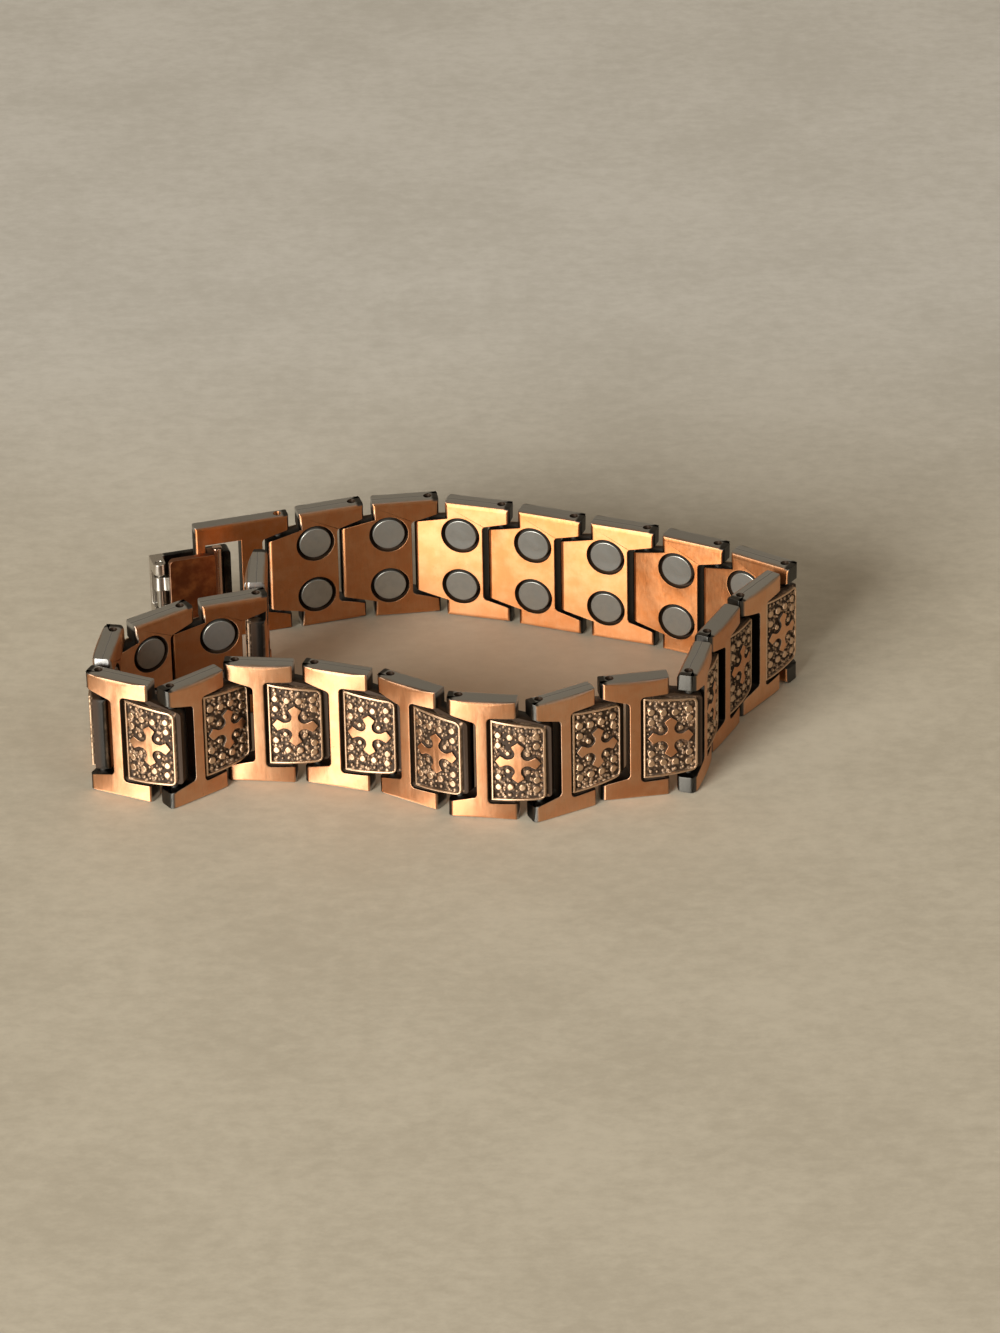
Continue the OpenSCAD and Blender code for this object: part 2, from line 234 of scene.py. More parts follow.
maskSetup = {  # ranges of how far a face looks across the band: 1 on its two sides, 0 on its edges
    "ragged": 0.25,
    "face": (0.45, 0.75),
    "rimRise": (0.22, 0.45),
    "rimFall": (0.70, 0.93),
}


def faceMasks():  # the copper faces, and the rim round them, painted paler as wear and painted highlight
    tree, start, end = groupTree(
        "faceMasks",
        [("Facing", "NodeSocketFloat", 1.0), ("Ragged", "NodeSocketFloat", 0.0)],
        [("Face", "NodeSocketFloat"), ("Rim wear and highlight", "NodeSocketFloat")],
    )
    s = maskSetup
    centred = mathNode(tree, "SUBTRACT", start.outputs["Ragged"], 0.5)
    ragged = mathNode(tree, "MULTIPLY", centred, s["ragged"])
    turn = mathNode(tree, "ADD", mathNode(tree, "ABSOLUTE", start.outputs["Facing"]), ragged)
    rise = remap(tree, turn, *s["rimRise"])
    fall = remap(tree, turn, *s["rimFall"], 1.0, 0.0)
    feed(tree, end.inputs["Face"], remap(tree, turn, *s["face"]))
    feed(tree, end.inputs["Rim wear and highlight"], mathNode(tree, "MULTIPLY", rise, fall))
    return tree


zoneSetup = {  # mm, but for the tones and shares
    "edge": (6.6, 7.1),  # up or down from the middle
    "ragged": 0.8,
    "earEnd": (-0.35, -0.7),  # along the link from its pin
    "seam": (0.02, 0.07),  # across from the line through the pins
    "seamRagged": 0.3,
    "seamEdge": (7.42, 7.47),
    "seamTone": (0.35, 0.45),  # links of a higher tone have the dark line
    "seamShare": 0.7,
}


def edgeZones():  # band's edges, ears' end faces, and a dark line along the edges through the pins
    tree, start, end = groupTree(
        "edgeZones",
        [
            ("Place", "NodeSocketVector", None), ("Middle", "NodeSocketFloat", 7.5),
            ("Ragged", "NodeSocketFloat", 0.0), ("Tone", "NodeSocketFloat", 0.0),
        ],
        [("Edge", "NodeSocketFloat"), ("Ear end", "NodeSocketFloat"), ("Seam", "NodeSocketFloat")],
    )
    s = zoneSetup
    axes = addNode(tree, "ShaderNodeSeparateXYZ")
    feed(tree, axes.inputs[0], start.outputs["Place"])
    up = mathNode(tree, "ABSOLUTE", mathNode(tree, "SUBTRACT", axes.outputs[2], start.outputs["Middle"]))
    centred = mathNode(tree, "SUBTRACT", start.outputs["Ragged"], 0.5)
    ragged = mathNode(tree, "MULTIPLY", centred, s["ragged"])
    wavy = mathNode(tree, "MULTIPLY", ragged, s["seamRagged"])
    across = mathNode(tree, "ABSOLUTE", mathNode(tree, "ADD", axes.outputs[1], wavy))
    line = remap(tree, across, *s["seam"], 1.0, 0.0)
    chosen = remap(tree, start.outputs["Tone"], *s["seamTone"])
    line = mathNode(tree, "MULTIPLY", mathNode(tree, "MULTIPLY", line, chosen), s["seamShare"])
    along = mathNode(tree, "ADD", axes.outputs[0], ragged)
    feed(tree, end.inputs["Edge"], remap(tree, up, *s["edge"]))
    feed(tree, end.inputs["Ear end"], remap(tree, along, *s["earEnd"]))
    feed(tree, end.inputs["Seam"], mathNode(tree, "MULTIPLY", line, remap(tree, up, *s["seamEdge"])))
    return tree


pebbleSetup = {
    "stretch": (1, 0.02, 1),  # a lump keeps its outline through the depth of the relief
    "slope": (0.2, 0.6),  # share of a cell's reach where a lump starts to fall, and where it ends
}


def pebbleLumps():  # small cast lumps that fill the ground between the studs
    tree, start, end = groupTree(
        "pebbleLumps",
        [("Place", "NodeSocketVector", None), ("Fineness", "NodeSocketFloat", 2.0)],
        [("Height", "NodeSocketFloat")],
    )
    cells = addNode(tree, "ShaderNodeTexVoronoi", feature="F1")
    feed(tree, cells.inputs["Vector"], stretched(tree, start.outputs["Place"], pebbleSetup["stretch"]))
    feed(tree, cells.inputs["Scale"], start.outputs["Fineness"])
    height = remap(tree, cells.outputs["Distance"], *pebbleSetup["slope"], 1.0, 0.0)
    feed(tree, end.inputs["Height"], height)
    return tree


knuckleBlend = 0.2  # mm along the clasp
rodBlend = 0.08


def knuckleZone():  # the two ends of the clasp: its knuckles, and the rod on the leaf's hook
    tree, start, end = groupTree(
        "knuckleZone",
        [
            ("Place", "NodeSocketVector", None), ("From", "NodeSocketFloat", 13.1),
            ("Rod end", "NodeSocketFloat", 7.8),
        ],
        [("Knuckle", "NodeSocketFloat"), ("Rod", "NodeSocketFloat")],
    )
    axes = addNode(tree, "ShaderNodeSeparateXYZ")
    feed(tree, axes.inputs[0], start.outputs["Place"])
    far = mathNode(tree, "ADD", start.outputs["From"], knuckleBlend)
    feed(tree, end.inputs["Knuckle"], remap(tree, axes.outputs[0], start.outputs["From"], far))
    near = mathNode(tree, "SUBTRACT", start.outputs["Rod end"], rodBlend)
    feed(tree, end.inputs["Rod"], remap(tree, axes.outputs[0], start.outputs["Rod end"], near))
    return tree


grainGroup = brushedGrain()
stainGroup = stainSpots()
maskGroup = faceMasks()
zoneGroup = edgeZones()
pebbleGroup = pebbleLumps()
knuckleGroup = knuckleZone()


def principled(name, **values):
    material = bpy.data.materials.new(name)
    material.use_nodes = True
    tree = material.node_tree
    shader = tree.nodes["Principled BSDF"]
    for key, value in values.items():
        shader.inputs[key].default_value = value
    return material, tree, shader


def named(tree, name):
    return addNode(tree, "ShaderNodeAttribute", attribute_name=name)


def brushTangent(tree, shader):
    tangent = addNode(tree, "ShaderNodeTangent", direction_type="UV_MAP", uv_map="brush")
    feed(tree, shader.inputs["Tangent"], tangent.outputs[0])


def bumped(tree, height, strength, depth, under=None):  # depth in mm
    bump = addNode(tree, "ShaderNodeBump")
    bump.inputs["Strength"].default_value = strength
    bump.inputs["Distance"].default_value = depth * mm
    feed(tree, bump.inputs["Height"], height)
    feed(tree, bump.inputs["Normal"], under)
    return bump.outputs["Normal"]


# Metal of the links, the frame and the leaf

copperFinish = {
    "copper": (0.66, 0.24, 0.075),
    "paleCopper": (0.80, 0.47, 0.25),
    "outerCopper": (0.78, 0.36, 0.17),  # the outer faces are painted paler, a painted highlight
    "outerPale": (0.88, 0.58, 0.36),
    "steel": (0.66, 0.66, 0.64),
    "wall": (0.06, 0.057, 0.052),  # faces inside notches, gaps and windows, painted near black as painted shade
    "earEnd": (0.10, 0.095, 0.085),
    # rims: wear and painted highlight
    "rimWearAndHighlight": (0.60, 0.46, 0.34),
    # the raised relief is painted paler, a painted highlight on its tops
    "relief": (0.80, 0.55, 0.36),
    "ground": (0.05, 0.028, 0.015),
    "paleShare": 0.27,
    "cloudRange": (0.35, 0.7),
    "rimShare": (0.15, 0.6),
    "outside": (-0.4, -0.7),  # facing, from an edge to an outer face
    "turned": (0.93, 0.72),  # facing, from a flat face to one that turns away
    "middle": 7.5,  # mm up the band
    "toneShift": (80.0, 37.0),  # mm that the pattern moves from link to link, along and across
    "toneShade": (0.9, 1.05),
    "fineness": 9.0,
    "lineRange": (0.3, 0.7),
    "lineShade": (0.95, 1.03),
    "stainAmount": 0.5,
    "stainPit": 0.8,
    "sunkRange": (0.12, 0.75),
    "pebbleLight": 0.8,
    "groundMetallic": 0.35,
    "groundRoughness": 0.25,  # added to the metal's
    "anisotropy": 0.9,
    "roughness": (0.46, 0.54),
    "brushBump": (0.12, 0.02),  # strength, and depth in mm
    "waveBump": (0.5, 0.06),
    "pebbleBump": (0.9, 0.12),
}
leafFinish = {
    **copperFinish,
    "copper": (0.30, 0.10, 0.04),
    "paleCopper": (0.66, 0.26, 0.09),
    "wall": (0.42, 0.2, 0.11),
    "paleShare": 0.85,
}
coverFinish = {
    # black and dull: the band and lip painted near black as painted shade, black also for stains
    "black": (0.035, 0.032, 0.03),
    "dull": (0.09, 0.085, 0.075),
    "copper": (0.50, 0.19, 0.075),
    "bright": (0.62, 0.58, 0.52),
    # the rod is painted pale, a painted highlight
    "rod": (0.88, 0.62, 0.48),
    "rodPolish": 0.28,  # taken off the rod's roughness
    "knuckleFrom": 13.1,  # mm from the frame's pin
    "outside": (-0.7, -0.4),
    "cloudRange": (0.35, 0.65),
    "lineRange": (0.3, 0.7),
    "fineness": 8.0,
    "stainAmount": 0.6,
    "anisotropy": 0.5,
    "roughness": (0.26, 0.4),
}


def surfaceFields(tree, finish):  # all that the mesh and the shared groups say of a point on the metal
    fields = ("facing", "sunk", "relief", "cross", "tone")
    at = {field: named(tree, field).outputs["Fac"] for field in fields}
    at["here"] = named(tree, "place").outputs["Vector"]
    shift = addNode(tree, "ShaderNodeCombineXYZ")
    for k, distance in enumerate(finish["toneShift"]):
        feed(tree, shift.inputs[k], mathNode(tree, "MULTIPLY", at["tone"], distance))
    shifted = addNode(tree, "ShaderNodeVectorMath", operation="ADD")
    feed(tree, shifted.inputs[0], at["here"])
    feed(tree, shifted.inputs[1], shift.outputs[0])
    place = shifted.outputs[0]
    grain = placeGroup(tree, grainGroup, Place=place, Fineness=finish["fineness"])
    at["lines"] = grain["Lines"]
    at["clouds"] = grain["Clouds"]
    at["stain"] = placeGroup(tree, stainGroup, Place=place, Amount=finish["stainAmount"])["Stain"]
    at["pebbles"] = placeGroup(tree, pebbleGroup, Place=place)["Height"]
    masks = placeGroup(tree, maskGroup, Facing=at["facing"], Ragged=at["clouds"])
    at["face"] = masks["Face"]
    at["rimWearAndHighlight"] = masks["Rim wear and highlight"]
    zones = placeGroup(tree, zoneGroup, Place=at["here"], Middle=finish["middle"], Ragged=at["clouds"],
                       Tone=at["tone"])
    at["edge"] = zones["Edge"]
    at["earEnd"] = zones["Ear end"]
    at["seam"] = zones["Seam"]
    return at


def layeredCopper(tree, finish, at):  # copper faces on steel edges, rims painted paler as wear and painted highlight, and dark ear ends
    cloudy = remap(tree, at["clouds"], *finish["cloudRange"])
    pale = mathNode(tree, "MULTIPLY", mathNode(tree, "ADD", cloudy, at["tone"]), finish["paleShare"])
    inner = mixColor(tree, pale, finish["copper"], finish["paleCopper"])
    # outer faces take the paler copper, a painted highlight
    outer = mixColor(tree, pale, finish["outerCopper"], finish["outerPale"])
    copper = mixColor(tree, remap(tree, at["facing"], *finish["outside"]), inner, outer)
    # sides are steel at the band's edges and elsewhere take the wall colour, on the links a painted shade
    side = mixColor(tree, at["edge"], finish["wall"], finish["steel"])
    metal = mixColor(tree, at["face"], side, copper)
    # the rims take a paler colour, wear and painted highlight
    rim = mathNode(tree, "MULTIPLY", at["rimWearAndHighlight"], remap(tree, cloudy, 0.0, 1.0, *finish["rimShare"]))
    metal = mixColor(tree, rim, metal, finish["rimWearAndHighlight"])
    turned = remap(tree, mathNode(tree, "ABSOLUTE", at["facing"]), *finish["turned"])
    return mixColor(tree, mathNode(tree, "MULTIPLY", turned, at["earEnd"]), metal, finish["earEnd"])


def bandMetal(name, finish, knuckleFrom=None):
    material, tree, shader = principled(name, Anisotropic=finish["anisotropy"])
    brushTangent(tree, shader)
    at = surfaceFields(tree, finish)
    metal = layeredCopper(tree, finish, at)
    rough = remap(tree, at["lines"], *finish["lineRange"], *finish["roughness"])
    if knuckleFrom:
        ends = placeGroup(tree, knuckleGroup, Place=at["here"], From=knuckleFrom)
        metal = mixColor(tree, ends["Knuckle"], metal, coverFinish["bright"])
        # the rod takes a pale colour, a painted highlight
        metal = mixColor(tree, ends["Rod"], metal, coverFinish["rod"])
        polish = mathNode(tree, "MULTIPLY", ends["Rod"], coverFinish["rodPolish"])
        rough = mathNode(tree, "SUBTRACT", rough, polish)
    # the raised relief takes its paler colour, a painted highlight
    raised = mathNode(tree, "MULTIPLY", at["relief"], mathNode(tree, "SUBTRACT", 1.0, at["cross"]))
    shade = addNode(tree, "ShaderNodeHueSaturation")
    feed(tree, shade.inputs["Color"], mixColor(tree, raised, metal, finish["relief"]))
    lineShade = remap(tree, at["lines"], *finish["lineRange"], *finish["lineShade"])
    toneShade = remap(tree, at["tone"], 0.0, 1.0, *finish["toneShade"], "LINEAR")
    feed(tree, shade.inputs["Value"], mathNode(tree, "MULTIPLY", lineShade, toneShade))
    # sunk places take the ground colour: the relief's ground and groove darker with depth, the magnet
    # pockets and pin bores as painted shade
    deep = remap(tree, at["sunk"], *finish["sunkRange"])
    ground = mathNode(tree, "MULTIPLY", raised, deep)
    light = mathNode(tree, "MULTIPLY", at["pebbles"], finish["pebbleLight"])
    deep = mathNode(tree, "SUBTRACT", deep, mathNode(tree, "MULTIPLY", ground, light))
    dark = mathNode(tree, "MAXIMUM", mathNode(tree, "MAXIMUM", deep, at["stain"]), at["seam"])
    feed(tree, shader.inputs["Base Color"], mixColor(tree, dark, shade.outputs["Color"], finish["ground"]))
    feed(tree, shader.inputs["Metallic"], remap(tree, dark, 0.0, 1.0, 1.0, finish["groundMetallic"]))
    dull = mathNode(tree, "MULTIPLY", dark, finish["groundRoughness"])
    feed(tree, shader.inputs["Roughness"], mathNode(tree, "ADD", rough, dull))
    pits = mathNode(tree, "MULTIPLY", at["stain"], finish["stainPit"])
    normal = bumped(tree, mathNode(tree, "SUBTRACT", at["lines"], pits), *finish["brushBump"])
    normal = bumped(tree, at["clouds"], *finish["waveBump"], normal)
    lumps = mathNode(tree, "MULTIPLY", ground, at["pebbles"])
    feed(tree, shader.inputs["Normal"], bumped(tree, lumps, *finish["pebbleBump"], normal))
    return material


def coverMetal(finish):  # band and lip painted near black as painted shade, bright knuckles, copper outside
    material, tree, shader = principled("coverSteel", Metallic=1.0, Anisotropic=finish["anisotropy"])
    brushTangent(tree, shader)
    here = named(tree, "place").outputs["Vector"]
    grain = placeGroup(tree, grainGroup, Place=here, Fineness=finish["fineness"])
    stain = placeGroup(tree, stainGroup, Place=here, Amount=finish["stainAmount"])["Stain"]
    knuckle = placeGroup(tree, knuckleGroup, Place=here, From=finish["knuckleFrom"])["Knuckle"]
    outside = remap(tree, named(tree, "facing").outputs["Fac"], *finish["outside"], 1.0, 0.0)
    cloudy = remap(tree, grain["Clouds"], *finish["cloudRange"])
    # the band and lip are near black, painted shade
    color = mixColor(tree, cloudy, finish["black"], finish["dull"])
    color = mixColor(tree, outside, color, finish["copper"])
    color = mixColor(tree, knuckle, color, finish["bright"])
    feed(tree, shader.inputs["Base Color"], mixColor(tree, stain, color, finish["black"]))
    rough = remap(tree, grain["Lines"], *finish["lineRange"], *finish["roughness"])
    feed(tree, shader.inputs["Roughness"], rough)
    return material


magnetFinish = {
    "metal": (0.44, 0.45, 0.42),
    "patch": (0.38, 0.385, 0.36),
    "edge": (0.5, 0.47, 0.4),
    "stain": (0.10, 0.08, 0.06),
    "stainAmount": 0.25,
    "patchRange": (0.35, 0.65),
    "edgeRange": (0.3, 0.95, 0.8, 0.0),  # facing from, to, and the share of edge colour there
    "cloudRange": (0.3, 0.7),
    "fineness": 4.0,
    "metallic": 0.85,
    "roughness": (0.34, 0.46),
    "bump": (0.08, 0.02),
}


def magnetMetal(finish):
    material, tree, shader = principled("magnetPlating", Metallic=finish["metallic"])
    place = named(tree, "place").outputs["Vector"]
    clouds = placeGroup(tree, grainGroup, Place=place, Fineness=finish["fineness"])["Clouds"]
    stain = placeGroup(tree, stainGroup, Place=place, Amount=finish["stainAmount"])["Stain"]
    facing = mathNode(tree, "ABSOLUTE", named(tree, "facing").outputs["Fac"])
    color = mixColor(tree, remap(tree, clouds, *finish["patchRange"]), finish["metal"], finish["patch"])
    color = mixColor(tree, remap(tree, facing, *finish["edgeRange"]), color, finish["edge"])
    feed(tree, shader.inputs["Base Color"], mixColor(tree, stain, color, finish["stain"]))
    feed(tree, shader.inputs["Roughness"], remap(tree, clouds, *finish["cloudRange"], *finish["roughness"]))
    feed(tree, shader.inputs["Normal"], bumped(tree, clouds, *finish["bump"]))
    return material


pinFinish = {
    "light": (0.22, 0.21, 0.19),
    "dull": (0.14, 0.13, 0.12),
    "range": (0.3, 0.7),
    "fineness": 7.0,
    "roughness": (0.4, 0.52),
}
claspPinFinish = {
    **pinFinish,
    "light": (0.55, 0.52, 0.47),
    "dull": (0.42, 0.40, 0.36),
    "roughness": (0.28, 0.4),
}


def plainSteel(name, finish):  # for pieces that keep their CAD mesh, in Object coordinates
    material, tree, shader = principled(name, Metallic=1.0)
    where = addNode(tree, "ShaderNodeTexCoord").outputs["Object"]
    place = stretched(tree, where, (1 / mm, 1 / mm, 1 / mm))
    grain = placeGroup(tree, grainGroup, Place=place, Fineness=finish["fineness"])
    color = mixColor(tree, remap(tree, grain["Lines"], *finish["range"]), finish["light"], finish["dull"])
    feed(tree, shader.inputs["Base Color"], color)
    rough = remap(tree, grain["Clouds"], *finish["range"], *finish["roughness"])
    feed(tree, shader.inputs["Roughness"], rough)
    return material


linkMaterial = bandMetal("copperOnSteel", copperFinish)
leafMaterial = bandMetal("leafCopper", leafFinish, coverFinish["knuckleFrom"])
coverMaterial = coverMetal(coverFinish)
magnetMaterial = magnetMetal(magnetFinish)
pinMaterial = plainSteel("pinSteel", pinFinish)
claspSteelMaterial = plainSteel("claspSteel", claspPinFinish)
print("materials made")

# The link, taken from the CAD solid and softened, all in mm

linkSizes = {
    "pitch": 8.8,
    "outer": 1.4,
    "inner": 1.1,
    "bowRadius": 24.853,
    "bowMiddle": 2.65,
    "panelStart": 3.55,
    "panelEnd": 9.65,
    "panelHalf": 5.1,
    "panelTaper": 0.5,
    "panelBow": 0.3,
    "relief": 0.35,
    "rim": 0.28,
    "middle": 7.5,
    "grooveFloor": -0.5,
    "grooveWidth": 0.3,
    "railHeight": 2.1,
    "bore": 0.47,
    "pocket": 2.25,
    "pocketPlace": (4.65, 3.35),  # along the link, and up or down from its middle
    "crossShare": 0.92,
}
panelMiddle = (linkSizes["panelStart"] + linkSizes["panelEnd"]) / 2
panelReach = (linkSizes["panelEnd"] - linkSizes["panelStart"]) / 2
panelRadius = (panelReach ** 2 + linkSizes["panelBow"] ** 2) / (2 * linkSizes["panelBow"])
crossReach = linkSizes["crossShare"] * (panelReach - linkSizes["rim"])

headings = [  # degrees, link by link
    -90, -163, -145, -98, -25, 38, -6, -18.5, -32.5, -8.5, 28, 9, 74.5, 63, 53, 146.5, 153.5,
    160, 159.5, 164.5, 186.5, 196.5,
]
frameHeading = 195.5
routeStart = (-21.2867, 10.1961)

pins = [Vector((*routeStart, 0))]
for heading in headings:
    a = math.radians(heading)
    pins.append(pins[-1] + Vector((math.cos(a), math.sin(a), 0)) * linkSizes["pitch"])

softening = {
    "mergeDistance": 0.0008,
    "cutDistance": 0.0005,
    "flatAngle": 1.0,  # degrees
    "sharpAngle": 33,
    "widest": 0.2,
    "segments": 2,
    "normalWeight": 50,
}


def panelHalf(x):  # half the panel's height, which tapers along the link
    s = linkSizes
    return s["panelHalf"] - s["panelTaper"] * (x - s["panelStart"]) / (2 * panelReach)


def toLocal(pin, heading):
    turn = Matrix.Rotation(math.radians(-heading), 4, "Z")
    return turn @ Matrix.Translation(-pin) @ Matrix.Scale(1 / mm, 4)


def localCopy(nodeName, pin, heading, cuts=()):  # merged copy of a CAD solid, in its own axes
    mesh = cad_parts[nodeName].data.copy()
    mesh.transform(toLocal(pin, heading))
    bm = bmesh.new()
    bm.from_mesh(mesh)
    bmesh.ops.remove_doubles(bm, verts=bm.verts, dist=softening["mergeDistance"])
    for x in cuts:  # a seam across keeps a face with a window in it from becoming one ring
        cut = bmesh.ops.bisect_plane(bm, geom=bm.verts[:] + bm.edges[:] + bm.faces[:],
                                     dist=softening["cutDistance"], plane_co=(x, 0, 0), plane_no=(1, 0, 0))
        for part in cut["geom_cut"]:
            if isinstance(part, bmesh.types.BMEdge):
                part.seam = True
    bmesh.ops.dissolve_limit(bm, angle_limit=math.radians(softening["flatAngle"]), verts=bm.verts,
                             edges=bm.edges, delimit={"SEAM"})
    bm.normal_update()
    bm.to_mesh(mesh)
    bm.free()
    mesh.materials.clear()
    return mesh


def evaluated(obj):  # a plain mesh of the object with its modifiers applied; the object goes
    bpy.context.scene.collection.objects.link(obj)
    graph = bpy.context.evaluated_depsgraph_get()
    result = bpy.data.meshes.new_from_object(obj.evaluated_get(graph), preserve_all_data_layers=True,
                                             depsgraph=graph)
    bpy.data.objects.remove(obj)
    return result


def softened(mesh, name, widthOf):  # bevels each sharp edge by the width that widthOf gives at its middle
    s = softening
    bm = bmesh.new()
    bm.from_mesh(mesh)
    layer = bm.edges.layers.float.new("bevel_weight_edge")
    sharp = math.radians(s["sharpAngle"])
    for edge in bm.edges:
        if len(edge.link_faces) == 2 and edge.is_convex and edge.calc_face_angle() > sharp:
            middle = (edge.verts[0].co + edge.verts[1].co) / 2
            edge[layer] = min(1.0, widthOf(middle) / s["widest"])
    bm.to_mesh(mesh)
    bm.free()
    mesh.shade_smooth()
    obj = bpy.data.objects.new(name, mesh)
    bevel = obj.modifiers.new("bevel", "BEVEL")
    bevel.width = s["widest"]
    bevel.segments = s["segments"]
    bevel.limit_method = "WEIGHT"
    bevel.use_clamp_overlap = False
    bevel.miter_outer = "MITER_SHARP"
    bevel.profile = 0.5
    normals = obj.modifiers.new("normals", "WEIGHTED_NORMAL")
    normals.keep_sharp = True
    normals.weight = s["normalWeight"]
    return evaluated(obj)


crossShape = {  # shares of the cross's reach
    "along": [0.435, 0.59, 0.78, 1],
    "half": [0.435, 0.2, 0.29, 0],  # half an arm's width at each place along it
    "bite": 0.435,  # middle of each round bite, both ways
    "biteRadius": 0.25,
    "spare": 0.02,
}


def crossInside(u, v):  # the plain cross with a round bite between each two arms
    s = crossShape
    a = np.maximum(abs(u), abs(v)) / crossReach
    b = np.minimum(abs(u), abs(v)) / crossReach
    onArm = (b < np.interp(a, s["along"], s["half"]) + s["spare"]) & (a < 1 + s["spare"])
    return onArm & (np.hypot(a - s["bite"], b - s["bite"]) > s["biteRadius"])


brushScale = 50  # the brush map's units in a metre


def brushMap(mesh):  # U runs up the band on upright faces and along X on its edges
    corners = np.zeros(len(mesh.loops), np.int32)
    mesh.loops.foreach_get("vertex_index", corners)
    places = np.zeros(len(mesh.vertices) * 3, np.float32)
    mesh.vertices.foreach_get("co", places)
    places = places.reshape(-1, 3)[corners]
    normals = np.zeros(len(mesh.polygons) * 3, np.float32)
    mesh.polygons.foreach_get("normal", normals)
    counts = np.zeros(len(mesh.polygons), np.int32)
    mesh.polygons.foreach_get("loop_total", counts)
    normals = np.repeat(np.abs(normals.reshape(-1, 3)), counts, axis=0)
    flat = normals[:, 2] > 0.7
    alongX = normals[:, 1] > normals[:, 0]
    uv = np.empty((len(corners), 2), np.float32)
    uv[:, 0] = np.where(flat, places[:, 0], places[:, 2])
    uv[:, 1] = np.where(flat | ~alongX, places[:, 1], places[:, 0])
    mesh.uv_layers.new(name="brush").uv.foreach_set("vector", (uv * brushScale).reshape(-1))


fieldSetup = {  # how far the masks reach past an edge, and the depths at which they are full
    "panelSpare": 0.03,
    "panelBase": 0.02,
    "wallWidth": 0.06,
    "wallDepth": 0.12,
    "grooveSpare": 0.05,
    "grooveDepth": 0.5,
    "pocketSpare": 0.03,
    "pocketBack": -0.1,
    "pocketDepth": 0.07,
    "boreSpare": 0.012,
    "footHeight": 0.14,
}


def addFields(mesh):  # local place, facing, and the masks that the metal reads
    s = linkSizes
    f = fieldSetup
    co = np.zeros(len(mesh.vertices) * 3, np.float32)
    mesh.vertices.foreach_get("co", co)
    co = co.reshape(-1, 3)
    x, y, z = co.T
    u = x - panelMiddle
    v = z - s["middle"]
    half = panelHalf(x)
    inPanel = (abs(u) < panelReach + f["panelSpare"]) & (abs(v) < half + f["panelSpare"])
    inPanel &= y < s["grooveFloor"] - f["panelBase"]
    depth = panelRadius - np.hypot(u, y - (panelRadius - s["outer"]))
    sunk = np.where(inPanel, np.clip(depth / s["relief"], 0, 1), 0)
    pastBar = x > s["panelStart"] - s["grooveWidth"] - f["grooveSpare"]
    bowDepth = s["bowRadius"] - np.hypot(x - s["bowMiddle"], y - (s["bowRadius"] - s["outer"]))
    inGroove = (~inPanel) & pastBar & (y < 0) & (abs(v) < s["middle"] - s["railHeight"] + f["grooveSpare"])
    sunk = np.where(inGroove, np.clip(bowDepth / f["grooveDepth"], 0, 1), sunk)
    # magnet pockets and pin bores count as sunk, a painted shade
    for up in (-1, 1):
        away = np.hypot(x - s["pocketPlace"][0], v - up * s["pocketPlace"][1])
        inPocket = (away < s["pocket"] + f["pocketSpare"]) & (y > f["pocketBack"])
        sunk = np.where(inPocket, np.clip((s["inner"] - y) / f["pocketDepth"], 0, 1), sunk)
    for at in (0, s["pitch"]):
        sunk = np.where(np.hypot(x - at, y) < s["bore"] + f["boreSpare"], 1, sunk)
    nearSide = (abs(u) > panelReach - f["wallWidth"]) | (abs(v) > half - f["wallWidth"])
    wall = inPanel & (depth > f["wallDepth"]) & nearSide
    sunk = np.where(wall, 0, sunk)
    inPanel &= ~wall
    foot = (abs(y - s["grooveFloor"]) < f["footHeight"]) & pastBar
    sunk = np.where(foot, 1, sunk)
    cross = inPanel & crossInside(u, v)
    for name, kind, values in (
        ("place", "FLOAT_VECTOR", co.reshape(-1)),
        ("sunk", "FLOAT", sunk),
        ("relief", "FLOAT", inPanel),
        ("cross", "FLOAT", cross),
    ):
        layer = mesh.attributes.new(name, kind, "POINT")
        numbers = np.asarray(values, np.float32)
        layer.data.foreach_set("vector" if kind == "FLOAT_VECTOR" else "value", numbers)
    normals = np.zeros(len(mesh.loops) * 3, np.float32)
    mesh.corner_normals.foreach_get("vector", normals)
    facing = mesh.attributes.new("facing", "FLOAT", "CORNER")
    facing.data.foreach_set("value", normals.reshape(-1, 3)[:, 1].copy())
    return mesh


edgeWidths = {  # of the bevels, and below them how near to a bore, ledge or bite an edge takes its width
    "rim": 0.07,
    "bite": 0.1,
    "stud": 0.15,
    "bore": 0.02,
    "pocket": 0.06,
    "ledge": 0.02,  # narrow, round the panel's foot
    "other": 0.11,
    "panelInset": 0.1,
    "rimSpare": 0.05,
    "biteReach": 0.3,
    "boreReach": 0.6,
    "pocketReach": 0.05,
    "pocketFrom": 0.1,  # across the link, from its pins' line
    "ledgeReach": 0.12,
}


def reliefEdgeWidth(u, v, half):
    s, w = linkSizes, edgeWidths
    rimInset = s["rim"] + w["rimSpare"]
    bite = crossShape["bite"] * crossReach
    if crossInside(u, v) or abs(v) > half - rimInset or abs(u) > panelReach - rimInset:
        return w["rim"]
    return w["bite"] if math.hypot(abs(u) - bite, abs(v) - bite) < w["biteReach"] else w["stud"]


def linkEdgeWidth(point):
    s, w = linkSizes, edgeWidths
    u = point.x - panelMiddle
    v = point.z - s["middle"]
    half = panelHalf(point.x)
    onPanel = point.y < s["grooveFloor"] - w["panelInset"] and abs(u) < panelReach - w["panelInset"]
    if onPanel and abs(v) < half - w["panelInset"]:
        return reliefEdgeWidth(u, v, half)
    if min(math.hypot(point.x, point.y), math.hypot(point.x - s["pitch"], point.y)) < w["boreReach"]:
        return w["bore"]
    away = math.hypot(point.x - s["pocketPlace"][0], abs(v) - s["pocketPlace"][1])
    if point.y > w["pocketFrom"] and away < s["pocket"] + w["pocketReach"]:
        return w["pocket"]
    return w["ledge"] if abs(point.y - s["grooveFloor"]) < w["ledgeReach"] else w["other"]


# Small dots between the studs

